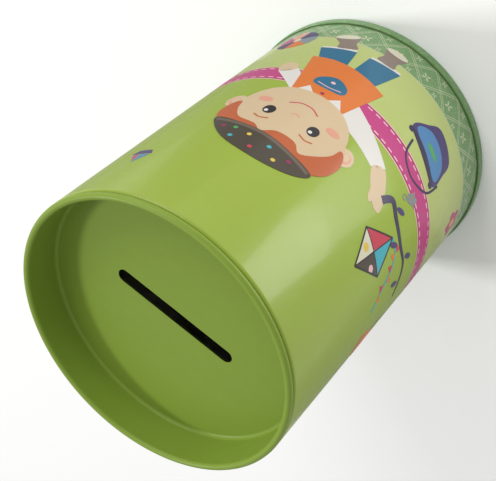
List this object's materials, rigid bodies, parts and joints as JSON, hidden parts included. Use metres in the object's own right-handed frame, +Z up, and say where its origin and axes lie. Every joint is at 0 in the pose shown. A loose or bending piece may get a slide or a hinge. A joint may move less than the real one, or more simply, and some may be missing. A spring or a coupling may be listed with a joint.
{
  "type": "money box",
  "caption": "Round tin money box: printed can body, double-seamed bottom, and a deep plug lid with a coin slot that pulls off.",
  "frame": {"origin": "centre of the base, on the plane that the can stands on", "axes": "+Z up along the can's axis, from the base to the slotted lid; -Y is the front, the side that the printed figure faces; +X is to the right of the front"},
  "size_m": [0.0814, 0.0814, 0.114],
  "materials": {
    "printed_body": "litho-printed lime green tinplate under a gloss varnish, bare tinplate inside",
    "printed_base": "litho-printed green tinplate with a pale diamond lattice on the seam, bare tinplate inside",
    "lacquered_lid": "plain lime green lacquered tinplate, satin, with a thin bright rim"
  },
  "bodies": {
    "can": {"body_shell": "printed_body", "bottom_end": "printed_base"},
    "lid": {"lid": "lacquered_lid"}
  },
  "joints": [
    {"name": "lid_lift", "type": "slide", "parent": "can", "child": "lid", "axis": [0, 0, 1], "range_m": [0, 0.03]}
  ]
}
